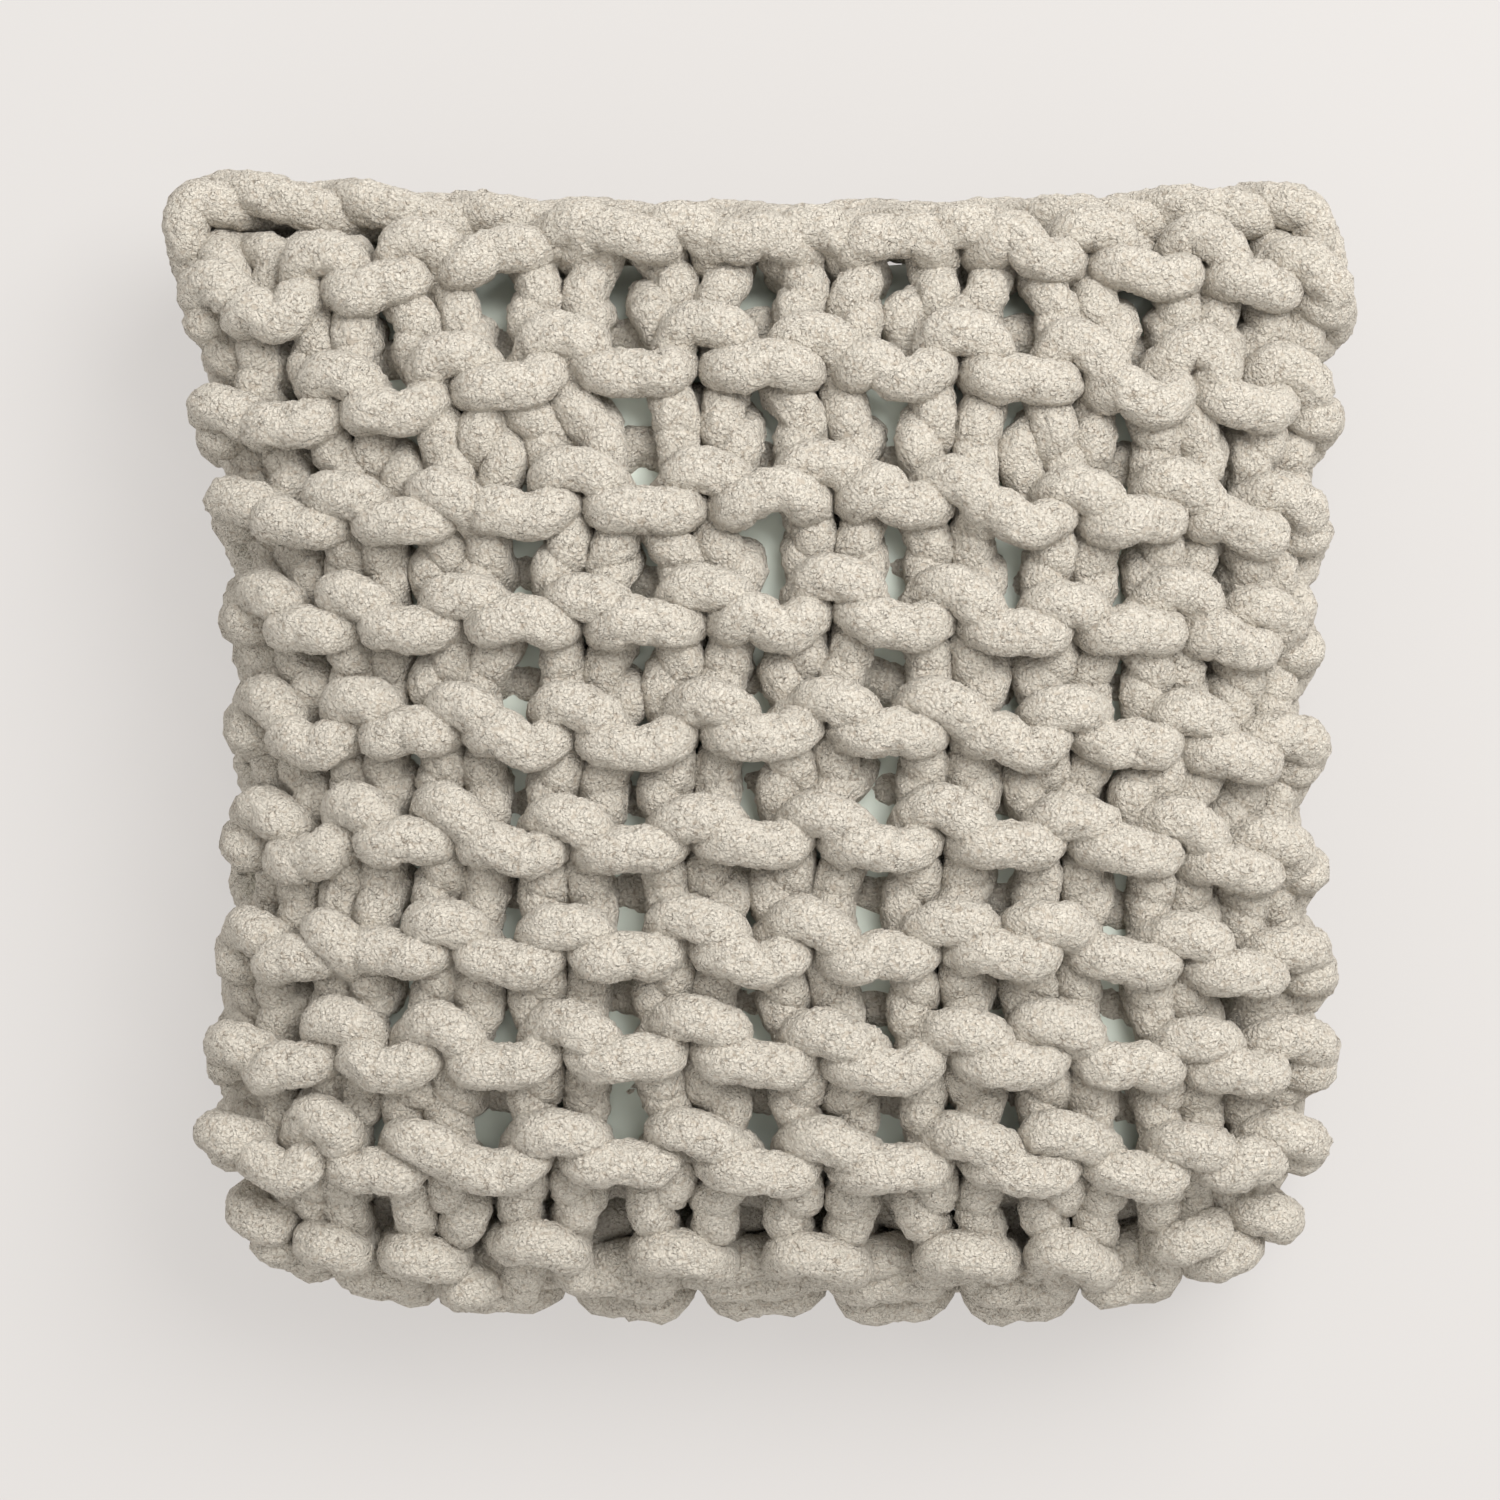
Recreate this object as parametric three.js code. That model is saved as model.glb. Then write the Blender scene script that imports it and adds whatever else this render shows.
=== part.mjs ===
// Square throw pillow: a loose garter-stitch cover of thick chenille yarn, laced around a stuffed
// insert. The pillow lies on its back panel, with +X to the right of the front face, +Y towards its
// top edge and +Z out of the front. The origin is under its middle, on the surface it lies on.
// All sizes are in millimetres.
import * as THREE from 'three';

// Overall size
const pillowWidth = 508;          // along X, over the knitted cover
const pillowDepth = 484;          // along Y
const seamHeight = 74;            // of the seam plane above the surface below
const frontCrown = 80;            // rise of the front's middle above its own rim

// Outline
const waist = 7;                  // how far the middle of each side pulls in
const cornerPull = 20;            // how far each corner is drawn in from the square
const domePower = 2.5;            // higher is flatter on top and rounder at the rim

// Knitted cover
const knitThickness = 36;
const ridgeCount = 10;            // garter ridges up each panel
const ridgeRise = 3.5;            // half of the height from valley to ridge
const rimRise = 21;               // height of a panel's outer rim above the seam plane
const laceDiameter = 16;          // the yarn of the lacing, drawn tight
const laceEnd = 0.9;              // where the lacing stops, as a share of the half side

// Stuffed insert
const insertSlack = 5;            // space around the insert's edge, inside the cover
const clothThickness = 1;
const threadDiameter = 1.6;
const closingLength = 130;        // of the hand-closed gap in the insert's lower edge

// Clearances
const faceGap = 0.5;              // between two pieces that touch face to face
const laceClearance = 0.8;        // around the lacing in its groove
const threadClearance = 1.2;      // between the seam thread and what lies around it

// Mesh fineness
const acrossCells = 12;
const laceSides = 8;
const threadSides = 6;

// A side is widest a little way from its middle, where the waist has ended and the corner's draw
// has hardly begun, so the waist and the corner together take this much off the half size.
const sideDraw = waist - waist ** 2 / (4 * cornerPull);
const halfWidth = pillowWidth / 2 + sideDraw;
const halfDepth = pillowDepth / 2 + sideDraw;
const laceRadius = laceDiameter / 2;
const threadRadius = threadDiameter / 2;
const grooveRadius = laceRadius + laceClearance;
const seamRoom = threadRadius + threadClearance;

// A place in plan, u and v from -1 to 1 across the pillow, drawn in from the outline by inset.
function outlinePoint(u, v, inset) {
  const corner = cornerPull * (u * v) ** 4;
  const acrossHalf = halfWidth - inset - waist * (1 - v * v) - corner;
  const alongHalf = halfDepth - inset - waist * (1 - u * u) - corner;
  return [u * acrossHalf, v * alongHalf];
}

// The crown's height over the plan, 1 in the middle and 0 at the rim, steep at the rim.
function dome(u, v) {
  const across = 1 - Math.abs(u) ** domePower;
  const along = 1 - Math.abs(v) ** domePower;
  return Math.sqrt(Math.max(across * along, 0));
}

// Even arc steps from one side to the other, closer together near the rim.
function arcSteps(cells) {
  const steps = [];
  for (let i = 0; i <= cells; i += 1) {
    steps.push(Math.sin((Math.PI / 2) * (2 * i / cells - 1)));
  }
  return steps;
}

// One step for each ridge top and each valley between two ridges.
function ridgeSteps() {
  const steps = [];
  for (let i = 0; i <= 2 * ridgeCount; i += 1) {
    steps.push(i / ridgeCount - 1);
  }
  return steps;
}

// The knitted panels and everything inside them share these steps, so their facets lie parallel.
const acrossSteps = arcSteps(acrossCells);
const alongSteps = ridgeSteps();

// The index of each grid point on the rim, anticlockwise seen from above.
function rimIndices(columns, rows) {
  const rim = [];
  for (let i = 0; i < columns - 1; i += 1) rim.push(i);
  for (let j = 0; j < rows - 1; j += 1) rim.push(j * columns + columns - 1);
  for (let i = columns - 1; i > 0; i -= 1) rim.push((rows - 1) * columns + i);
  for (let j = rows - 1; j > 0; j -= 1) rim.push(j * columns);
  return rim;
}

// A closed body between two surfaces over the same plan, joined around the rim by a profile.
// near and far give a point of each surface, and profile lists rim steps as [inset, z].
// The near surface faces up, or down when flip is true.
function shellBody(near, far, profile, flip) {
  const columns = acrossSteps.length;
  const rows = alongSteps.length;
  const positions = [];
  const triangles = [];
  const addTriangle = (a, b, c) => triangles.push(a, flip ? c : b, flip ? b : c);
  for (const surface of [near, far]) {
    for (const v of alongSteps) {
      for (const u of acrossSteps) positions.push(...surface(u, v));
    }
  }
  const farStart = columns * rows;
  for (let j = 0; j < rows - 1; j += 1) {
    for (let i = 0; i < columns - 1; i += 1) {
      const a = j * columns + i;
      const b = a + 1;
      const c = b + columns;
      const d = a + columns;
      // Each cell's diagonal runs so that the corners of the plan stay convex.
      if ((2 * i < columns - 1) === (2 * j < rows - 1)) {
        addTriangle(a, b, d);
        addTriangle(b, c, d);
        addTriangle(farStart + a, farStart + d, farStart + b);
        addTriangle(farStart + b, farStart + d, farStart + c);
      } else {
        addTriangle(a, b, c);
        addTriangle(a, c, d);
        addTriangle(farStart + a, farStart + c, farStart + b);
        addTriangle(farStart + a, farStart + d, farStart + c);
      }
    }
  }
  const rim = rimIndices(columns, rows);
  const loops = [rim];
  for (const [inset, z] of profile) {
    const first = positions.length / 3;
    for (const index of rim) {
      const u = acrossSteps[index % columns];
      const v = alongSteps[Math.floor(index / columns)];
      positions.push(...outlinePoint(u, v, inset), z);
    }
    loops.push(rim.map((_, k) => first + k));
  }
  loops.push(rim.map((index) => farStart + index));
  for (let n = 0; n < loops.length - 1; n += 1) {
    for (let k = 0; k < rim.length; k += 1) {
      const next = (k + 1) % rim.length;
      addTriangle(loops[n][k], loops[n + 1][k], loops[n + 1][next]);
      addTriangle(loops[n][k], loops[n + 1][next], loops[n][next]);
    }
  }
  const geometry = new THREE.BufferGeometry();
  geometry.setAttribute('position', new THREE.Float32BufferAttribute(positions, 3));
  geometry.setIndex(triangles);
  geometry.computeVertexNormals();
  return geometry;
}

// The half-round groove in a panel's rim that the lacing lies in, from its outer lip inwards, and
// the flat face beyond it, where the panels meet.
function rimProfile(side) {
  const steps = [];
  for (const degrees of [60, 90, 135]) {
    const angle = THREE.MathUtils.degToRad(degrees);
    const inset = laceRadius - grooveRadius * Math.cos(angle);
    steps.push([inset, seamHeight + side * grooveRadius * Math.sin(angle)]);
  }
  steps.push([laceRadius + grooveRadius, seamHeight + side * faceGap / 2]);
  steps.push([knitThickness, seamHeight + side * faceGap / 2]);
  return steps;
}

function ridgeWave(v) {
  return -ridgeRise * Math.cos(2 * Math.PI * ridgeCount * (v + 1) / 2);
}

// One knitted panel: side is 1 for the front, and -1 for the back, which is flat where it rests.
function knitPanel(side) {
  const innerCrown = rimRise + frontCrown - knitThickness - seamRoom;
  const outer = (u, v) => {
    const [x, y] = outlinePoint(u, v, 0);
    const crown = dome(u, v);
    const height = rimRise + frontCrown * crown + ridgeWave(v) * Math.sqrt(crown);
    return [x, y, Math.max(seamHeight + side * height, 0)];
  };
  const inner = (u, v) => {
    const [x, y] = outlinePoint(u, v, knitThickness);
    const z = seamHeight + side * (seamRoom + innerCrown * dome(u, v));
    return [x, y, Math.max(z, knitThickness)];
  };
  return shellBody(outer, inner, rimProfile(side), side < 0);
}

// Height above (or below) the seam plane of a surface that lies the given depth inside the cover.
function insertHeight(u, v, side, depth) {
  const crown = rimRise + frontCrown - knitThickness - depth;
  const z = seamHeight + side * (faceGap / 2 + crown * dome(u, v));
  return Math.max(z, knitThickness + depth);
}

function insertCloth(side) {
  const edge = knitThickness + insertSlack;
  const outer = (u, v) => [...outlinePoint(u, v, edge), insertHeight(u, v, side, insertSlack)];
  const inner = (u, v) => [
    ...outlinePoint(u, v, edge + clothThickness),
    insertHeight(u, v, side, insertSlack + clothThickness),
  ];
  return shellBody(outer, inner, [], side < 0);
}

function fillingBody() {
  const edge = knitThickness + insertSlack + clothThickness + faceGap;
  const depth = insertSlack + clothThickness + faceGap;
  const upper = (u, v) => [...outlinePoint(u, v, edge), insertHeight(u, v, 1, depth)];
  const lower = (u, v) => [...outlinePoint(u, v, edge), insertHeight(u, v, -1, depth)];
  return shellBody(upper, lower, [], false);
}

function roundSection(radius, sides) {
  const points = [];
  for (let i = 0; i < sides; i += 1) {
    const angle = 2 * Math.PI * i / sides;
    points.push(new THREE.Vector2(radius * Math.cos(angle), radius * Math.sin(angle)));
  }
  return new THREE.Shape(points);
}

// A run of straight lengths that bends only at its points.
class JointedRun extends THREE.Curve {
  constructor(points) {
    super();
    this.points = points;
  }

  getPoint(share) {
    const place = share * (this.points.length - 1);
    const first = Math.min(Math.floor(place), this.points.length - 2);
    return new THREE.Vector3().lerpVectors(this.points[first], this.points[first + 1], place - first);
  }

  // Each length takes an equal share of the run, so that a step of an extrusion ends at each point.
  getUtoTmapping(share) {
    return share;
  }
}

function strand(points, radius, sides) {
  const extrudePath = new JointedRun(points);
  return new THREE.ExtrudeGeometry(roundSection(radius, sides), { steps: points.length - 1, extrudePath });
}

const sides = {
  left: { place: (t) => [-1, t], steps: alongSteps },
  right: { place: (t) => [1, t], steps: alongSteps },
  top: { place: (t) => [t, 1], steps: acrossSteps },
  bottom: { place: (t) => [t, -1], steps: acrossSteps },
};

// Points along one side of the outline, from one share of the half side up to another.
function sidePoints(side, from, to, inset) {
  const shares = [from, ...side.steps.filter((share) => share > from && share < to), to];
  return shares.map((share) => {
    const [x, y] = outlinePoint(...side.place(share), inset);
    return new THREE.Vector3(x, y, seamHeight);
  });
}

function lacing(side) {
  return strand(sidePoints(side, -laceEnd, laceEnd, laceRadius), laceRadius, laceSides);
}

const threadInset = knitThickness + insertSlack - threadClearance - threadRadius;
const threadHalfLength = halfWidth - waist - threadInset;
const closingShare = closingLength / 2 / threadHalfLength;
const closingGap = 2 * faceGap / threadHalfLength;

// The machine seam runs around the insert, from one end of the closed gap to the other.
function seamThread() {
  const start = closingShare + closingGap;
  const points = [
    ...sidePoints(sides.bottom, start, 1, threadInset),
    ...sidePoints(sides.right, -1, 1, threadInset).slice(1),
    ...sidePoints(sides.top, -1, 1, threadInset).reverse().slice(1),
    ...sidePoints(sides.left, -1, 1, threadInset).reverse().slice(1),
    ...sidePoints(sides.bottom, -1, -start, threadInset).slice(1),
  ];
  return strand(points, threadRadius, threadSides);
}

function closingThread() {
  const points = sidePoints(sides.bottom, -closingShare, closingShare, threadInset);
  return strand(points, threadRadius, threadSides);
}

const yarnFinish = new THREE.MeshStandardMaterial({ color: 0xcdc6b8, roughness: 1, metalness: 0 });
const clothFinish = new THREE.MeshStandardMaterial({ color: 0xd3dbcf, roughness: 0.75, metalness: 0 });
const threadFinish = new THREE.MeshStandardMaterial({ color: 0xe6eae2, roughness: 0.6, metalness: 0 });
const fillFinish = new THREE.MeshStandardMaterial({ color: 0xf4f4f2, roughness: 1, metalness: 0 });

const pillow = new THREE.Group();

function addPiece(name, geometry, finish) {
  const mesh = new THREE.Mesh(geometry, finish);
  mesh.name = name;
  pillow.add(mesh);
}

addPiece('knit_front_panel', knitPanel(1), yarnFinish);
addPiece('knit_back_panel', knitPanel(-1), yarnFinish);
for (const [name, side] of Object.entries(sides)) {
  addPiece(`lacing_yarn_${name}`, lacing(side), yarnFinish);
}
addPiece('insert_front_cloth', insertCloth(1), clothFinish);
addPiece('insert_back_cloth', insertCloth(-1), clothFinish);
addPiece('insert_seam_thread', seamThread(), threadFinish);
addPiece('insert_closing_thread', closingThread(), threadFinish);
addPiece('polyester_filling', fillingBody(), fillFinish);

export default pillow;
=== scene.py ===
import math

import bpy
import numpy as np
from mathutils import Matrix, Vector


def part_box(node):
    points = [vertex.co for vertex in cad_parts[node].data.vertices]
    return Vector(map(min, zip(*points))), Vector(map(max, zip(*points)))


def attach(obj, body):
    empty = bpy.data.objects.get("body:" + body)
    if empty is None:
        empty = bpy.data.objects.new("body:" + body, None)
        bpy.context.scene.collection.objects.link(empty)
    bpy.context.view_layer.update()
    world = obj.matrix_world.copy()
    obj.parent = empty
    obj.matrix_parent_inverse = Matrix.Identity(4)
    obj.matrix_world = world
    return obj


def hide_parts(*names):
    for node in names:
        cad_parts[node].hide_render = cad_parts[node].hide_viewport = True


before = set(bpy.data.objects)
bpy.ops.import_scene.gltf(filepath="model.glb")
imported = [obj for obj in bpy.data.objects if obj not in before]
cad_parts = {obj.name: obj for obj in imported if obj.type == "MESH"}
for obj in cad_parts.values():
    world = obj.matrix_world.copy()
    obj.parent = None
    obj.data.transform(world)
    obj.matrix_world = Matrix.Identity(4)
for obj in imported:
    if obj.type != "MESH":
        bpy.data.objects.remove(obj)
bpy.ops.object.select_all(action="DESELECT")
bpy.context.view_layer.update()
print("frame loaded")


camera = {
    "height": 2.4,             # straight above the pillow
    "aim": (-0.0034, -0.0064),
    "viewWidth": 0.637,        # what the frame spans at the level below
    "level": 0.090,
    "sensor": 36.0,
}
cameraData = bpy.data.cameras.new("camera")
cameraObject = bpy.data.objects.new("camera", cameraData)
bpy.context.scene.collection.objects.link(cameraObject)
cameraObject.location = (*camera["aim"], camera["height"])
cameraData.sensor_width = camera["sensor"]
cameraData.lens = camera["sensor"] * (camera["height"] - camera["level"]) / camera["viewWidth"]
bpy.context.scene.camera = cameraObject
print("camera set")


# every loop lies on a crowned surface that these sizes give, in metres
frontLow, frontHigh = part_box("knit_front_panel")
laceLow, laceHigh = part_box("lacing_yarn_left")
outerRise = 0.016              # the outermost yarn above the seam plane
seamZ = (laceLow.z + laceHigh.z) / 2
halfWidth = (frontHigh.x - frontLow.x) / 2
halfDepth = (frontHigh.y - frontLow.y) / 2

yarn = {
    "diameter": 0.0196,
    "depth": 0.0104,           # how far loops stand before and behind the panel's middle
    "lump": 0.0026,            # height of the pile's soft lumps
    "lumpSize": 0.0064,
    "fineLump": 0.0026,
    "fineLumpSize": 0.0034,
    "pressed": 0.97,           # share of its thickness that is left where it is squeezed
}
knitHalf = yarn["depth"] + yarn["diameter"] / 2

frontForm = {
    "side": 1,
    "crown": frontHigh.z - seamZ - outerRise - knitHalf,
    "rise": outerRise,
    "power": 2.5,              # how flat the middle of the crown is
    "waistPower": 1.5,         # how much of a side draws in
    "cornerPower": 3.2,        # how little of the form the drawn-in corners take
    "waistLeft": 0.039,        # how far each side draws in at its middle
    "waistRight": 0.022,
    "waistTop": 0.014,
    "waistBottom": 0.014,
    "cornerBottom": (0.044, 0.040),    # how far the corners draw in, left and right
    "cornerTop": (0.000, 0.005),
    "insetX": 0.0095,          # from the outline to the middle of the outermost yarn
    "insetY": 0.0130,
    "spreadX": 0.17,           # stitches are wider in the middle than at the sides
    "spreadY": 0.05,
}
backForm = dict(frontForm, side=-1, waistLeft=0.027, waistRight=0.020, waistTop=0.006,
                waistBottom=0.006, cornerBottom=(0.040, 0.036), cornerTop=(0.010, 0.014))


def crownHeight(form, u, v):
    across = 1 - np.abs(u) ** form["power"]
    along = 1 - np.abs(v) ** form["power"]
    return np.sqrt(np.clip(across * along, 0, None))


def spread(share, amount):
    inside = np.clip(share, -1, 1)
    return inside * (1 + amount * (1 - inside * inside)), np.abs(share) - np.abs(inside)


# middle of the knitting at shares s and t of the half sides; past 1 it runs down the side
def formPoint(form, s, t):
    u, overX = spread(s, form["spreadX"])
    v, overY = spread(t, form["spreadY"])
    right, upper = (1 + u) / 2, (1 + v) / 2
    waistX = form["waistLeft"] * (1 - right) + form["waistRight"] * right
    waistY = form["waistBottom"] * (1 - upper) + form["waistTop"] * upper
    low = form["cornerBottom"][0] * (1 - right) + form["cornerBottom"][1] * right
    high = form["cornerTop"][0] * (1 - right) + form["cornerTop"][1] * right
    corner = (low * (1 - upper) + high * upper) * np.abs(u * v) ** form["cornerPower"]
    x = u * (halfWidth - form["insetX"] - waistX * (1 - v * v) ** form["waistPower"] - corner)
    y = v * (halfDepth - form["insetY"] - waistY * (1 - u * u) ** form["waistPower"] - corner)
    rise = form["rise"] + form["crown"] * crownHeight(form, u, v)
    rise = rise - overX * halfWidth - overY * halfDepth
    z = seamZ + form["side"] * rise
    if form["side"] < 0:
        z = np.maximum(z, knitHalf + yarn["lump"])
    return np.stack([x, y, z], -1)


def formFrame(form, s, t):
    step = 0.01
    place = formPoint(form, s, t)
    alongS = formPoint(form, s + step, t) - formPoint(form, s - step, t)
    alongT = formPoint(form, s, t + step) - formPoint(form, s, t - step)
    outward = np.cross(alongS, alongT)
    outward /= np.linalg.norm(outward, axis=-1, keepdims=True) + 1e-12
    return place, outward * form["side"]


knit = {
    "stitches": 10,
    "ridges": 10,              # two rows of stitches make one ridge
    "firstRow": -1.010,        # where the lowest row lies, as a share of the half side
    "ridgePitch": 0.1960,
    "turnReach": 0.46,         # how far the yarn swings past the last stitch, in stitches
    "headTilt": -18.0,         # the upper loops lean to the right, in degrees
    "tiltSpread": 11.0,
    "sinkTilt": 0.13,          # how steeply the lower loops fall to the right
    "shiftX": 0.070,           # unevenness of a loop, in stitches and ridges
    "shiftY": 0.044,
    "lean": 0.110,             # how far an upright leg leans, in stitches
    "bulge": 0.12,             # how far the insert pushes the upright legs out
}
stitchPitch = 2.0 / (knit["stitches"] - 1 + 2 * knit["turnReach"])

# one stitch: across in stitches, up in ridges, and depth, 1 where its head shows in front
stitchKeys = (
    (-0.50, -0.410, -1.00),
    (-0.34, -0.412, -1.00),
    (-0.225, -0.400, -0.82),
    (-0.165, -0.320, -0.25),
    (-0.195, -0.120, 0.00),
    (-0.240, 0.080, 0.10),
    (-0.245, 0.240, 0.35),
    (-0.190, 0.350, 0.84),
    (-0.085, 0.388, 1.00),
    (0.085, 0.388, 1.00),
    (0.190, 0.350, 0.84),
    (0.245, 0.240, 0.35),
    (0.240, 0.080, 0.10),
    (0.195, -0.120, 0.00),
    (0.165, -0.320, -0.25),
    (0.225, -0.400, -0.82),
    (0.34, -0.412, -1.00),
)
headMiddle = 0.25              # the height about which a leaning head turns


def turned(x, y, middleY, degrees, amount):
    angle = math.radians(degrees) * amount
    dx, dy = x, y - middleY
    turnedX = dx * math.cos(angle) - dy * math.sin(angle)
    return turnedX, middleY + dx * math.sin(angle) + dy * math.cos(angle)


def rowKeys(row, chance):
    headSign = 1 if row % 2 == 0 else -1
    lineY = knit["firstRow"] + row * knit["ridgePitch"] / 2
    last = knit["stitches"] - 1
    keys = []
    for stitch in range(knit["stitches"]):
        lineX = (stitch - last / 2) * stitchPitch
        tilt = knit["headTilt"] + knit["tiltSpread"] * chance.normal()
        shiftX, shiftY, sinkX, sinkY, lean = chance.normal(0, 1, 5)
        for number, (x, y, depth) in enumerate(stitchKeys):
            if (stitch == 0 and number < 2) or (stitch == last and number > 15):
                continue
            headShare = min(max((y + 0.1) / 0.4, 0), 1)
            sinkShare = min(max((-0.1 - y) / 0.3, 0), 1) if abs(x) > 0.3 else 0
            x, y = turned(x, y, headMiddle, tilt, headShare)
            x += knit["shiftX"] * (headShare * shiftX + 0.6 * sinkShare * sinkX)
            x += knit["lean"] * lean * max(1 - abs(y) / 0.3, 0)
            y += knit["shiftY"] * (headShare * shiftY + sinkShare * sinkY)
            y -= knit["sinkTilt"] * sinkShare * (x - math.copysign(0.5, x))
            depth = depth * headSign + knit["bulge"] * (1 - abs(depth))
            keys.append((lineX + x * stitchPitch, lineY + y * knit["ridgePitch"], depth))
    return keys


# the swing from the end of a row up into the next one, at the right (1) or left (-1) side
def turnKeys(row, sign):
    lineX = sign * (knit["stitches"] - 1) / 2 * stitchPitch
    lineY = knit["firstRow"] + row * knit["ridgePitch"] / 2
    reach = knit["turnReach"]
    swing = ((reach - 0.16, -0.29), (reach - 0.02, -0.17), (reach, 0.02), (reach - 0.13, 0.15))
    headSign = 1 if row % 2 == 0 else -1
    depths = (-0.5 * headSign, -0.1 * headSign, 0.3 * headSign, 0.6 * headSign)
    return [(lineX + sign * x * stitchPitch, lineY + y * knit["ridgePitch"], depth)
            for (x, y), depth in zip(swing, depths)]


# two rows and the turns that join them, as one run of yarn
def ridgeKeys(ridge, chance):
    row = 2 * ridge
    keys = rowKeys(row, chance) + turnKeys(row, 1) + rowKeys(row + 1, chance)[::-1]
    if ridge < knit["ridges"] - 1:
        keys += turnKeys(row + 1, -1)
    return np.array(keys)


drape = {
    "hump": 0.026,             # how far the rows rise in their middle
    "upperHump": 0.112,        # and how much more in the upper rows
    "upperFrom": 0.55,
    "upperOver": 0.16,
    "humpMiddle": 0.06,
    "humpFall": 1.2,
    "backShare": 0.4,          # the back is pulled less
    "rightDroop": 0.030,
    "leftDroop": 0.050,        # the upper rows fall off to the left
    "leftAt": 0.62,
    "leftOver": 0.2,
    "lowDroop": 0.050,         # and the lowest ones sag in their middle
    "tuckFrom": 0.90,          # past this the last row tucks in under the edge chain
    "tuck": 0.8,
}


# the slow waves of a hand-knitted panel that has been pulled over an insert
def settle(keys, form):
    s, t = keys[:, 0].copy(), keys[:, 1].copy()
    lift = 0.5 + 0.5 * np.tanh((t - drape["upperFrom"]) / drape["upperOver"])
    inside = np.clip(1 - (s - drape["humpMiddle"]) ** 2 * drape["humpFall"], 0, 1)
    hump = (drape["hump"] + drape["upperHump"] * lift) * inside
    left = np.clip(-s - 0.3, 0, 1) / 0.7 * np.exp(-((t - drape["leftAt"]) / drape["leftOver"]) ** 2)
    droop = drape["rightDroop"] * (s + 1) / 2 * (1 - t * t) + drape["leftDroop"] * left
    droop += drape["lowDroop"] * (1 - s * s) * np.clip((-t - 0.75) / 0.25, 0, 1)
    wave = 0.010 * np.sin(5.3 * s + 3.1 * t) + 0.007 * np.sin(11.0 * s - 4.0 * t + 1.0)
    sway = 0.012 * np.sin(2.6 * t + 0.4) + 0.009 * np.sin(6.1 * t + 2.6 * s)
    keys = keys.copy()
    keys[:, 1] += (hump if form["side"] > 0 else drape["backShare"] * hump) - droop + wave
    keys[:, 0] += form["side"] * sway * np.clip(1 - s * s, 0, 1)
    keys[:, 1] -= drape["tuck"] * np.clip(keys[:, 1] - drape["tuckFrom"], 0, None)
    return keys


# a smooth run through every point, with so many parts between two of them
def smoothRun(points, parts):
    first, last = 2 * points[0] - points[1], 2 * points[-1] - points[-2]
    padded = np.vstack([first, points, last])
    share = np.linspace(0, 1, parts, endpoint=False)[:, None, None]
    a, b, c, d = padded[:-3], padded[1:-2], padded[2:-1], padded[3:]
    run = 0.5 * (2 * b + (c - a) * share + (2 * a - 5 * b + 4 * c - d) * share ** 2
                 + (3 * b - a - 3 * c + d) * share ** 3)
    return np.vstack([run.transpose(1, 0, 2).reshape(-1, points.shape[1]), points[-1]])


# the same run with a point every step; columns past the third are carried along
def evenRun(points, step):
    lengths = np.linalg.norm(np.diff(points[:, :3], axis=0), axis=1)
    travelled = np.concatenate([[0], np.cumsum(lengths)])
    at = np.linspace(0, travelled[-1], max(int(travelled[-1] / step), 2))
    return np.stack([np.interp(at, travelled, column) for column in points.T], -1)


# keys of (s, t, depth) laid on the pillow: place, freedom and the way outward
def layOn(form, keys):
    dense = smoothRun(keys, 10)
    place, outward = formFrame(form, dense[:, 0], dense[:, 1])
    points = place + outward * (dense[:, 2] * yarn["depth"])[:, None]
    return np.hstack([points, np.abs(dense[:, 2:3]), outward])


settling = {
    "spacing": 0.0055,         # between the points that push each other apart
    "rounds": 30,
    "squeeze": 0.80,           # how near two strands come, as a share of the yarn's thickness
    "memory": 0.020,           # how strongly a point is drawn back to where it was knitted
    "stiffness": 0.35,
    "sideBySide": 0.004,       # strands nearer in depth than this stay as they are
}


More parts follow.
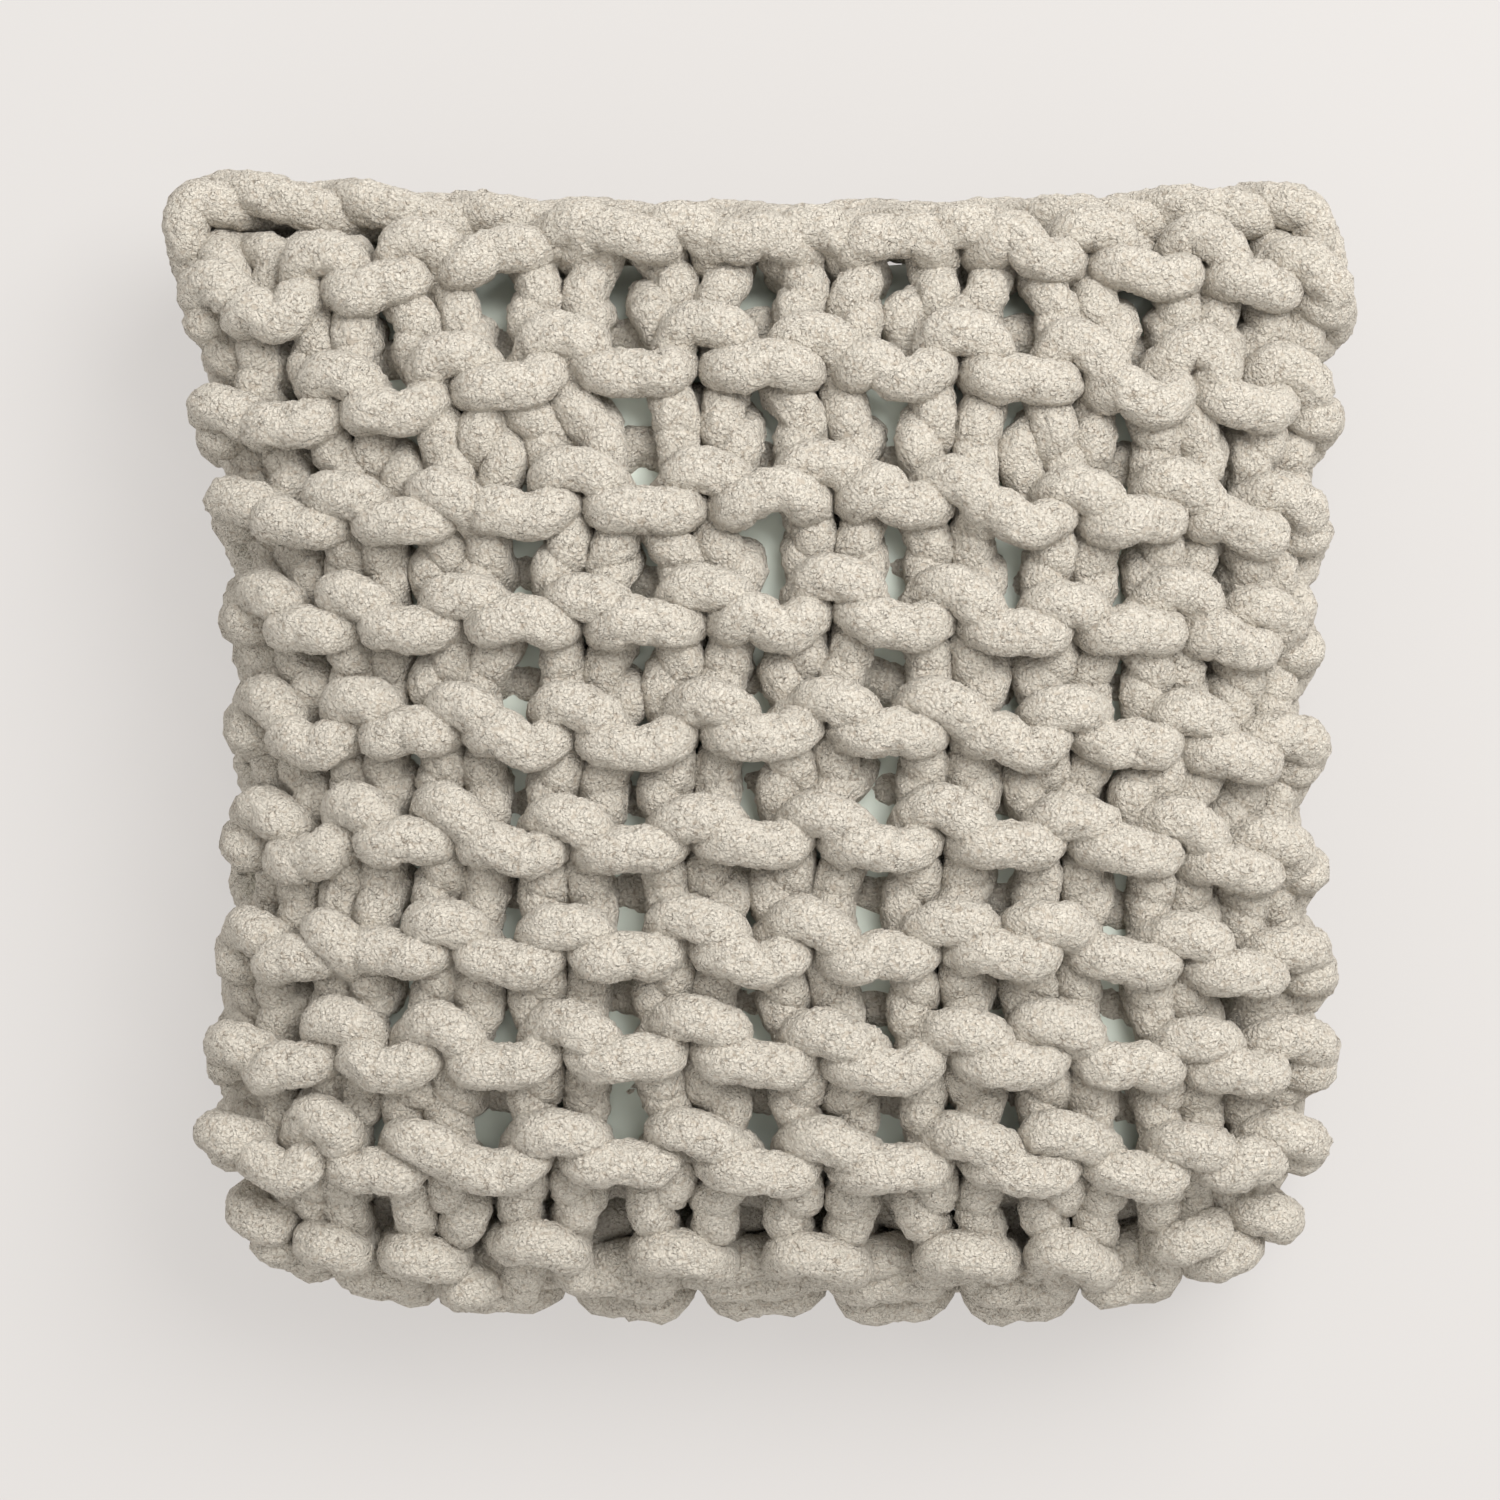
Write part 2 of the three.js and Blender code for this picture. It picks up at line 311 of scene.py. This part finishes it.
# where strands cross, they are pushed apart through the knitting, as far as the soft pile resists
def settleRuns(runs, diameter):
    coarse = [evenRun(run, settling["spacing"]) for run in runs]
    places = np.vstack([run[:, :3] for run in coarse])
    outward = np.vstack([run[:, 4:7] for run in coarse])
    counts = [len(run) for run in coarse]
    owner = np.repeat(np.arange(len(coarse)), counts)
    order = np.arange(len(places))
    nearest = diameter * settling["squeeze"]
    joined = int(nearest * 1.7 / settling["spacing"]) + 1
    inner = (owner[1:-1] == owner[:-2]) & (owner[1:-1] == owner[2:])
    pairs = closePairs(places, nearest * 1.3)
    one, other = pairs.T
    apart = (owner[one] != owner[other]) | (np.abs(order[one] - order[other]) > joined)
    one, other = one[apart], other[apart]
    normal = outward[one] + outward[other]
    normal /= np.linalg.norm(normal, axis=1, keepdims=True)
    between = places[one] - places[other]
    level = np.einsum("ij,ij->i", between, normal)
    beside = np.linalg.norm(between - level[:, None] * normal, axis=1)
    needed = np.sqrt(np.clip(nearest ** 2 - beside ** 2, 0, None)) * np.sign(level)
    share = np.clip(np.abs(level) / settling["sideBySide"], 0, 1)
    lift = np.zeros(len(places))
    for _ in range(settling["rounds"]):
        now = level + lift[one] - lift[other]
        missing = np.clip(np.abs(needed) - now * np.sign(needed), 0, None) * np.sign(needed) * share
        high, low = np.zeros(len(places)), np.zeros(len(places))
        np.maximum.at(high, one, missing)
        np.minimum.at(low, one, missing)
        np.maximum.at(high, other, -missing)
        np.minimum.at(low, other, -missing)
        lift += 0.25 * (high + low)
        smooth = (lift[:-2] + lift[2:]) / 2 - lift[1:-1]
        lift[1:-1] += np.where(inner, settling["stiffness"], 0) * smooth
        lift *= 1 - settling["memory"]
    places = places + lift[:, None] * outward
    settled = []
    start = 0
    for run, count in zip(coarse, counts):
        moved = np.hstack([places[start:start + count], run[:, 3:4]])
        settled.append(smoothRun(moved, 4))
        start += count
    return settled


# every two points nearer than reach, found cell by cell
def closePairs(places, reach):
    cells = np.floor(places / reach).astype(int)
    cells -= cells.min(axis=0)
    size = cells.max(axis=0) + 3
    key = ((cells[:, 0] + 1) * size[1] + cells[:, 1] + 1) * size[2] + cells[:, 2] + 1
    order = np.argsort(key, kind="stable")
    sortedKey = key[order]
    found = []
    for dx in (-1, 0, 1):
        for dy in (-1, 0, 1):
            for dz in (-1, 0, 1):
                other = key + (dx * size[1] + dy) * size[2] + dz
                first = np.searchsorted(sortedKey, other, "left")
                last = np.searchsorted(sortedKey, other, "right")
                for step in range(int((last - first).max(initial=0))):
                    has = first + step < last
                    mine = np.nonzero(has)[0]
                    found.append(np.stack([mine, order[first[has] + step]], -1))
    pairs = np.vstack(found)
    pairs = pairs[pairs[:, 0] < pairs[:, 1]]
    near = np.linalg.norm(places[pairs[:, 0]] - places[pairs[:, 1]], axis=1) < reach
    return pairs[near]


lumpTextures = {}


def lumpTexture(size):
    if size not in lumpTextures:
        texture = bpy.data.textures.new("pile_lumps", "CLOUDS")
        texture.noise_scale = size
        texture.noise_depth = 2
        lumpTextures[size] = texture
    return lumpTextures[size]


def meshPlaces(mesh):
    places = np.empty(len(mesh.vertices) * 3, np.float32)
    mesh.vertices.foreach_get("co", places)
    return places.reshape(-1, 3)


# a new object, and the only one selected
def addPiece(name, data):
    piece = bpy.data.objects.new(name, data)
    bpy.context.scene.collection.objects.link(piece)
    bpy.ops.object.select_all(action="DESELECT")
    piece.select_set(True)
    bpy.context.view_layer.objects.active = piece
    return piece


def reshape(piece, kind, **settings):
    modifier = piece.modifiers.new(kind.lower(), kind)
    for name, value in settings.items():
        setattr(modifier, name, value)
    bpy.ops.object.modifier_apply(modifier=modifier.name)


# a round length along a run; radius is its share of the thickness at each point
def makeRound(name, run, thickness, resolution, radius, look):
    curve = bpy.data.curves.new(name, "CURVE")
    curve.dimensions = "3D"
    curve.bevel_depth = thickness / 2
    curve.bevel_resolution = resolution
    curve.use_fill_caps = True
    spline = curve.splines.new("POLY")
    spline.points.add(len(run) - 1)
    places = np.hstack([run[:, :3], np.ones((len(run), 1))])
    spline.points.foreach_set("co", places.astype(np.float32).ravel())
    spline.points.foreach_set("radius", radius.astype(np.float32))
    addPiece(name, curve)
    bpy.ops.object.convert(target="MESH")
    bpy.ops.object.shade_smooth()
    piece = bpy.context.view_layer.objects.active
    piece.data.materials.clear()
    piece.data.materials.append(look)
    return piece


# a length of yarn along a run of (x, y, z, freedom); where freedom is 0 it is pressed thinner
def makeYarn(name, run, diameter, step, sides):
    run = evenRun(run, step)
    travelled = np.arange(len(run)) * step
    radius = yarn["pressed"] + (1 - yarn["pressed"]) * np.clip(run[:, 3], 0, 1)
    radius *= 1 + 0.020 * np.sin(travelled / 0.0110) + 0.020 * np.sin(travelled / 0.0047 + 1.0)
    ends = np.minimum(travelled, travelled[-1] - travelled)
    radius *= np.sqrt(np.clip(1 - (1 - np.clip(ends / (diameter / 2), 0, 1)) ** 2, 0.02, 1))
    piece = makeRound(name, run, diameter, (sides - 4) // 2, radius, yarnLook)
    for height, size in ((yarn["lump"], yarn["lumpSize"]), (yarn["fineLump"], yarn["fineLumpSize"])):
        reshape(piece, "DISPLACE", texture=lumpTexture(size), texture_coords="LOCAL", strength=height)
    return piece


# the pile is pressed flat where it rests
def pressOnFloor(piece, floorZ=0.0003):
    places = meshPlaces(piece.data)
    places[:, 2] = np.maximum(places[:, 2], floorZ)
    piece.data.vertices.foreach_set("co", places.ravel())
    piece.data.update()


def newMaterial(name):
    look = bpy.data.materials.new(name)
    look.use_nodes = True
    return look, look.node_tree, look.node_tree.nodes["Principled BSDF"]


def addNode(tree, kind, **values):
    node = tree.nodes.new(kind)
    for name, value in values.items():
        node.inputs[name].default_value = value
    return node


def addRamp(tree, *stops):
    ramp = tree.nodes.new("ShaderNodeValToRGB")
    while len(ramp.color_ramp.elements) < len(stops):
        ramp.color_ramp.elements.new(0.5)
    for element, (place, colour) in zip(ramp.color_ramp.elements, stops):
        element.position = place
        element.color = (*colour, 1)
    return ramp


chenille = {
    "tip": (0.706, 0.652, 0.562),      # the lit ends of the pile
    "root": (0.618, 0.558, 0.472),     # the shade between its clumps
    "splitShade": (0.415, 0.350, 0.278),    # painted shade, deep down where the pile parts
    "clumpScale": 620,
    "splitScale": 430,
    "fibreScale": 1700,
    "drift": 0.0022,
    "bump": 0.0009,
    "fineBump": 0.0006,
}


def chenilleLook():
    look, tree, shader = newMaterial("chenille_yarn")
    link = tree.links.new
    shader.inputs["Roughness"].default_value = 0.95
    shader.inputs["Specular IOR Level"].default_value = 0.08
    shader.inputs["Sheen Weight"].default_value = 0.22
    shader.inputs["Sheen Roughness"].default_value = 0.5
    shader.inputs["Sheen Tint"].default_value = (1.0, 0.97, 0.92, 1)
    place = tree.nodes.new("ShaderNodeTexCoord")
    drift = addNode(tree, "ShaderNodeTexNoise", Scale=420, Detail=3)
    link(place.outputs["Object"], drift.inputs["Vector"])
    shift = addNode(tree, "ShaderNodeVectorMath")
    shift.operation = "MULTIPLY_ADD"
    shift.inputs[1].default_value = (chenille["drift"],) * 3
    link(drift.outputs["Color"], shift.inputs[0])
    link(place.outputs["Object"], shift.inputs[2])
    clumps = addNode(tree, "ShaderNodeTexVoronoi", Scale=chenille["clumpScale"])
    link(shift.outputs["Vector"], clumps.inputs["Vector"])
    clumpRamp = addRamp(tree, (0.20, (1, 1, 1)), (0.80, (0, 0, 0)))
    link(clumps.outputs["Distance"], clumpRamp.inputs["Fac"])
    fibres = addNode(tree, "ShaderNodeTexNoise", Scale=chenille["fibreScale"], Detail=2, Roughness=0.6)
    link(place.outputs["Object"], fibres.inputs["Vector"])
    pile = addNode(tree, "ShaderNodeMath")
    pile.operation = "MULTIPLY_ADD"
    pile.inputs[1].default_value = 0.30
    link(fibres.outputs["Fac"], pile.inputs[0])
    link(clumpRamp.outputs["Color"], pile.inputs[2])
    splits = addNode(tree, "ShaderNodeTexVoronoi", Scale=chenille["splitScale"])
    splits.feature = "DISTANCE_TO_EDGE"
    link(shift.outputs["Vector"], splits.inputs["Vector"])
    splitRamp = addRamp(tree, (0.0, (1, 1, 1)), (0.09, (0, 0, 0)))
    link(splits.outputs["Distance"], splitRamp.inputs["Fac"])
    where = addNode(tree, "ShaderNodeTexNoise", Scale=190, Detail=2)
    link(place.outputs["Object"], where.inputs["Vector"])
    whereRamp = addRamp(tree, (0.46, (0, 0, 0)), (0.70, (1, 1, 1)))
    link(where.outputs["Fac"], whereRamp.inputs["Fac"])
    parted = addNode(tree, "ShaderNodeMath")
    parted.operation = "MULTIPLY"
    link(splitRamp.outputs["Color"], parted.inputs[0])
    link(whereRamp.outputs["Color"], parted.inputs[1])
    height = addNode(tree, "ShaderNodeMath")
    height.operation = "MULTIPLY_ADD"
    height.inputs[1].default_value = -0.6
    link(parted.outputs["Value"], height.inputs[0])
    link(pile.outputs["Value"], height.inputs[2])
    # the pile's colour follows its height: painted shade in the splits and between the clumps, a
    # painted highlight on the lit tips
    colour = addRamp(tree, (0.0, chenille["splitShade"]), (0.30, chenille["root"]), (0.78, chenille["tip"]))
    link(height.outputs["Value"], colour.inputs["Fac"])
    link(colour.outputs["Color"], shader.inputs["Base Color"])
    bump = addNode(tree, "ShaderNodeBump", Strength=1.0, Distance=chenille["bump"])
    link(height.outputs["Value"], bump.inputs["Height"])
    fine = addNode(tree, "ShaderNodeBump", Strength=1.0, Distance=chenille["fineBump"])
    link(fibres.outputs["Fac"], fine.inputs["Height"])
    link(bump.outputs["Normal"], fine.inputs["Normal"])
    link(fine.outputs["Normal"], shader.inputs["Normal"])
    return look


def clothLook():
    look, tree, shader = newMaterial("insert_cloth")
    link = tree.links.new
    shader.inputs["Roughness"].default_value = 0.55
    shader.inputs["Sheen Weight"].default_value = 0.15
    place = tree.nodes.new("ShaderNodeTexCoord")
    weft = addNode(tree, "ShaderNodeTexWave", Scale=700)
    weft.bands_direction = "X"
    warp = addNode(tree, "ShaderNodeTexWave", Scale=700)
    warp.bands_direction = "Y"
    link(place.outputs["Object"], weft.inputs["Vector"])
    link(place.outputs["Object"], warp.inputs["Vector"])
    weave = addNode(tree, "ShaderNodeMath")
    weave.operation = "MULTIPLY"
    link(weft.outputs["Fac"], weave.inputs[0])
    link(warp.outputs["Fac"], weave.inputs[1])
    colour = addRamp(tree, (0.0, (0.74, 0.80, 0.71)), (1.0, (0.83, 0.89, 0.80)))
    link(weave.outputs["Value"], colour.inputs["Fac"])
    link(colour.outputs["Color"], shader.inputs["Base Color"])
    bump = addNode(tree, "ShaderNodeBump", Strength=0.3, Distance=0.0002)
    link(weave.outputs["Value"], bump.inputs["Height"])
    link(bump.outputs["Normal"], shader.inputs["Normal"])
    return look


def threadLook():
    look, tree, shader = newMaterial("sewing_thread")
    shader.inputs["Roughness"].default_value = 0.5
    shader.inputs["Base Color"].default_value = (0.74, 0.78, 0.71, 1)
    return look


def fibreLook():
    look, tree, shader = newMaterial("polyester_fibre")
    link = tree.links.new
    shader.inputs["Roughness"].default_value = 0.9
    place = tree.nodes.new("ShaderNodeTexCoord")
    tufts = addNode(tree, "ShaderNodeTexNoise", Scale=160, Detail=4, Distortion=1.2)
    link(place.outputs["Object"], tufts.inputs["Vector"])
    colour = addRamp(tree, (0.3, (0.74, 0.74, 0.72)), (0.7, (0.88, 0.88, 0.86)))
    link(tufts.outputs["Fac"], colour.inputs["Fac"])
    link(colour.outputs["Color"], shader.inputs["Base Color"])
    bump = addNode(tree, "ShaderNodeBump", Strength=1.0, Distance=0.002)
    link(tufts.outputs["Fac"], bump.inputs["Height"])
    link(bump.outputs["Normal"], shader.inputs["Normal"])
    return look


yarnLook = chenilleLook()
insertLook = clothLook()
sewnLook = threadLook()
print("materials made")


def placeInFrame(piece, node):
    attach(piece, "root")
    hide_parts(node)


edge = {
    "swing": 0.0032,           # how far a strand of the edge chain goes to either side of its way
    "rise": 0.0064,            # and over and under it
    "links": 11,
    # the way that each chain takes, as shares of the half sides, turning down at the corners
    "top": ((-0.975, 0.70), (-0.985, 0.90), (-0.970, 0.980), (-0.90, 0.995), (-0.66, 0.995),
            (-0.40, 0.985), (0.0, 0.980), (0.45, 0.980), (0.88, 0.985), (0.980, 0.950), (0.995, 0.85)),
    "bottom": ((-0.93, -1.06), (-0.50, -1.10), (0.0, -1.11), (0.50, -1.10), (0.93, -1.06)),
}


# one of the two strands twisted into the chain that a cast-on or cast-off edge is
def chainRun(form, way, phase):
    steps = 8 * edge["links"]
    line = evenRun(smoothRun(np.array([(s, t, 0.0) for s, t in way]), 12), 0.01)
    share = np.linspace(0, 1, steps + 1)
    at = np.linspace(0, 1, len(line))
    middle = formPoint(form, np.interp(share, at, line[:, 0]), np.interp(share, at, line[:, 1]))
    along = np.gradient(middle, axis=0)
    along /= np.linalg.norm(along[:, :2], axis=1, keepdims=True)
    level = np.zeros(steps + 1)
    aside = np.stack([-along[:, 1], along[:, 0], level], -1)
    upright = np.stack([level, level, level + form["side"]], -1)
    angle = (math.pi * edge["links"] * share + phase)[:, None]
    points = middle + edge["swing"] * np.cos(angle) * aside + edge["rise"] * np.sin(angle) * upright
    return np.hstack([points, np.abs(np.sin(angle)), upright])


def panelRuns(form, seed):
    runs = {}
    for ridge in range(knit["ridges"]):
        chance = np.random.default_rng(1000 * seed + ridge)
        runs[f"ridge_{ridge + 1:02d}"] = layOn(form, settle(ridgeKeys(ridge, chance), form))
    for place in ("top", "bottom"):
        for strand, phase in enumerate((0.5, 0.5 + math.pi)):
            runs[f"{place}_edge_{strand + 1}"] = chainRun(form, edge[place], phase)
    return runs


fineness = {
    1: {"step": 0.0019, "sides": 34},
    -1: {"step": 0.0034, "sides": 20},
}
for form, label, seed in ((frontForm, "front", 11), (backForm, "back", 12)):
    detail = fineness[form["side"]]
    runs = panelRuns(form, seed)
    settled = settleRuns(list(runs.values()), yarn["diameter"])
    for name, run in zip(runs, settled):
        name = f"knit_{label}_{name}"
        piece = makeYarn(name, run, yarn["diameter"], detail["step"], detail["sides"])
        pressOnFloor(piece)
        placeInFrame(piece, f"knit_{label}_panel")
    print(label, "panel knitted")


lacing = {
    "diameter": 0.0150,
    "swing": 0.0120,           # up and down from the seam plane
    "turns": 10,
    "reach": 0.93,             # how near it comes to the corners
    "step": 0.0022,
    "sides": 26,
}


def lacingRun(side):
    steps = 12 * lacing["turns"]
    share = np.linspace(-lacing["reach"], lacing["reach"], steps)
    fixed = np.full_like(share, -1.0 if side in ("left", "bottom") else 1.0)
    s, t = (fixed, share) if side in ("left", "right") else (share, fixed)
    front, back = formPoint(frontForm, s, t), formPoint(backForm, s, t)
    angle = math.pi * lacing["turns"] * share
    mix = (0.5 + 0.5 * np.sin(angle))[:, None]
    run = front * mix + back * (1 - mix)
    run[:, 2] = seamZ + lacing["swing"] * np.sin(angle)
    return np.hstack([run, np.ones((steps, 1))])


for side in ("left", "right", "top", "bottom"):
    run = lacingRun(side)
    piece = makeYarn(f"lacing_{side}", run, lacing["diameter"], lacing["step"], lacing["sides"])
    pressOnFloor(piece)
    placeInFrame(piece, f"lacing_yarn_{side}")
print("panels laced together")


insert = {
    "voxel": 0.008,
    "spread": 1.045,           # the casing is pressed out against the knitting
    "pressure": 4.0,
    "frames": 20,
    "cap": 0.007,              # the most that a point of the cloth may move
    "swell": 0.0070,           # how far the front bulges on into the openings of the knitting
    "uneven": 0.0060,
    "unevenSize": 0.070,
    "cloth": 0.0006,
    "cut": (0.460, 0.442),     # each half of the casing, before it was sewn and filled
    "thread": 0.0016,
    "closing": 0.065,          # half of the hand-closed length in the lower edge
    "stitch": 0.006,
}


# cloth pressure fills the casing; no point moves past the cap
def inflate(piece):
    before = meshPlaces(piece.data)
    cloth = piece.modifiers.new("fill", "CLOTH")
    cloth.settings.use_pressure = True
    cloth.settings.uniform_pressure_force = insert["pressure"]
    cloth.settings.effector_weights.gravity = 0
    cloth.point_cache.frame_start = 1
    cloth.point_cache.frame_end = insert["frames"]
    for number in range(1, insert["frames"] + 1):
        bpy.context.scene.frame_set(number)
    bpy.ops.object.modifier_apply(modifier="fill")
    bpy.context.scene.frame_set(1)
    moved = meshPlaces(piece.data) - before
    length = np.linalg.norm(moved, axis=1, keepdims=True)
    moved *= np.minimum(1, insert["cap"] / np.maximum(length, 1e-9))
    piece.data.vertices.foreach_set("co", (before + moved).ravel())
    piece.data.update()


casing = addPiece("insert_casing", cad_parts["polyester_filling"].data.copy())
bpy.ops.object.mode_set(mode="EDIT")
bpy.ops.mesh.select_all(action="SELECT")
bpy.ops.mesh.remove_doubles(threshold=0.0001)
bpy.ops.object.mode_set(mode="OBJECT")
casing.data.remesh_voxel_size = insert["voxel"]
bpy.ops.object.voxel_remesh()
bpy.ops.object.mode_set(mode="EDIT")
bpy.ops.mesh.select_all(action="SELECT")
bpy.ops.transform.resize(value=(insert["spread"], insert["spread"], 1), center_override=(0, 0, seamZ))
bpy.ops.object.mode_set(mode="OBJECT")
inflate(casing)
swollen = meshPlaces(casing.data)
swollen[:, 2] += insert["swell"] * np.clip((swollen[:, 2] - seamZ) / 0.03, 0, 1)
casing.data.vertices.foreach_set("co", swollen.ravel())
casing.data.update()
uneven = lumpTexture(insert["unevenSize"])
reshape(casing, "DISPLACE", texture=uneven, texture_coords="LOCAL", strength=insert["uneven"])
reshape(casing, "SMOOTH", iterations=6)
reshape(casing, "SUBSURF", levels=1, render_levels=1)
bpy.ops.object.shade_smooth()


# one half of the casing, cut along the seam, with the thickness of its cloth outside the filling
def halfCloth(name, node, up):
    piece = addPiece(name, casing.data.copy())
    bpy.ops.object.mode_set(mode="EDIT")
    bpy.ops.mesh.select_all(action="SELECT")
    bpy.ops.mesh.bisect(plane_co=(0, 0, seamZ), plane_no=(0, 0, 1), clear_inner=up, clear_outer=not up)
    bpy.ops.object.mode_set(mode="OBJECT")
    reshape(piece, "SOLIDIFY", thickness=insert["cloth"], offset=1)
    piece.data.materials.clear()
    piece.data.materials.append(insertLook)
    placeInFrame(piece, node)


halfCloth("insert_front", "insert_front_cloth", True)
halfCloth("insert_back", "insert_back_cloth", False)


# the casing's edge at the seam: how far it reaches in each direction from the middle
def seamLine():
    places = meshPlaces(casing.data)
    near = places[np.abs(places[:, 2] - seamZ) < insert["voxel"]]
    angles = np.arctan2(near[:, 1], near[:, 0])
    reach = np.hypot(near[:, 0], near[:, 1])
    bins = 180
    number = ((angles + math.pi) / (2 * math.pi) * bins).astype(int) % bins
    furthest = np.array([reach[number == k].max() for k in range(bins)])
    middles = (np.arange(bins) + 0.5) / bins * 2 * math.pi - math.pi
    line = np.stack([furthest * np.cos(middles), furthest * np.sin(middles), np.full(bins, seamZ)], -1)
    start = bins // 4                      # the lower edge's middle
    return np.vstack([line[start:], line[:start + 1]])


def makeThread(name, run, thickness, node):
    piece = makeRound(name, run, thickness, 1, np.ones(len(run)), sewnLook)
    placeInFrame(piece, node)


seam = evenRun(smoothRun(seamLine(), 4), 0.002)
closed = (np.abs(seam[:, 0]) < insert["closing"]) & (seam[:, 1] < 0)
makeThread("insert_machine_seam", seam[~closed], insert["thread"], "insert_seam_thread")
closingRun = seam[closed]
closingRun = closingRun[np.argsort(closingRun[:, 0])]
closingRun = evenRun(closingRun, insert["stitch"] / 8)
turn = np.arange(len(closingRun)) / 8 * 2 * math.pi
closingRun[:, 1] += insert["thread"] * np.cos(turn)
closingRun[:, 2] += insert["thread"] * 1.6 * np.sin(turn)
makeThread("insert_hand_closing", closingRun, insert["thread"] * 0.7, "insert_closing_thread")

casing.name = "insert_filling"
casing.data.materials.clear()
casing.data.materials.append(fibreLook())
placeInFrame(casing, "polyester_filling")
print("insert filled and sewn")


setting = {
    "floorSize": 8,
    "floorColour": (0.190, 0.184, 0.178, 1),
    "floorGlow": (0.524, 0.504, 0.489, 1),      # keeps the shadows soft on a pale floor
    "skyColour": (1.0, 0.99, 0.975, 1),
    "sky": 0.86,
    "keyPlace": (1.1, 1.2, 2.5),
    "keyAim": (0, 0, 0.05),
    "keySize": 1.8,
    "keyPower": 92,
}
bpy.ops.mesh.primitive_plane_add(size=setting["floorSize"], location=(0, 0, 0))
floor = bpy.context.active_object
floor.name = "floor"
floorLook, floorTree, floorShader = newMaterial("floor")
floorShader.inputs["Base Color"].default_value = setting["floorColour"]
floorShader.inputs["Emission Color"].default_value = setting["floorGlow"]
floorShader.inputs["Emission Strength"].default_value = 1
floorShader.inputs["Roughness"].default_value = 0.9
floorShader.inputs["Specular IOR Level"].default_value = 0.1
floor.data.materials.append(floorLook)

scene = bpy.context.scene
scene.view_settings.view_transform = "Standard"
world = bpy.data.worlds.new("studio")
scene.world = world
world.use_nodes = True
world.node_tree.nodes["Background"].inputs["Color"].default_value = setting["skyColour"]
world.node_tree.nodes["Background"].inputs["Strength"].default_value = setting["sky"]

softbox = bpy.data.lights.new("key_light", "AREA")
softbox.energy = setting["keyPower"]
softbox.size = setting["keySize"]
keyLight = bpy.data.objects.new("key_light", softbox)
keyLight.location = setting["keyPlace"]
aim = Vector(setting["keyAim"]) - Vector(setting["keyPlace"])
keyLight.rotation_euler = aim.to_track_quat("-Z", "Y").to_euler()
bpy.context.scene.collection.objects.link(keyLight)
print("setting made")
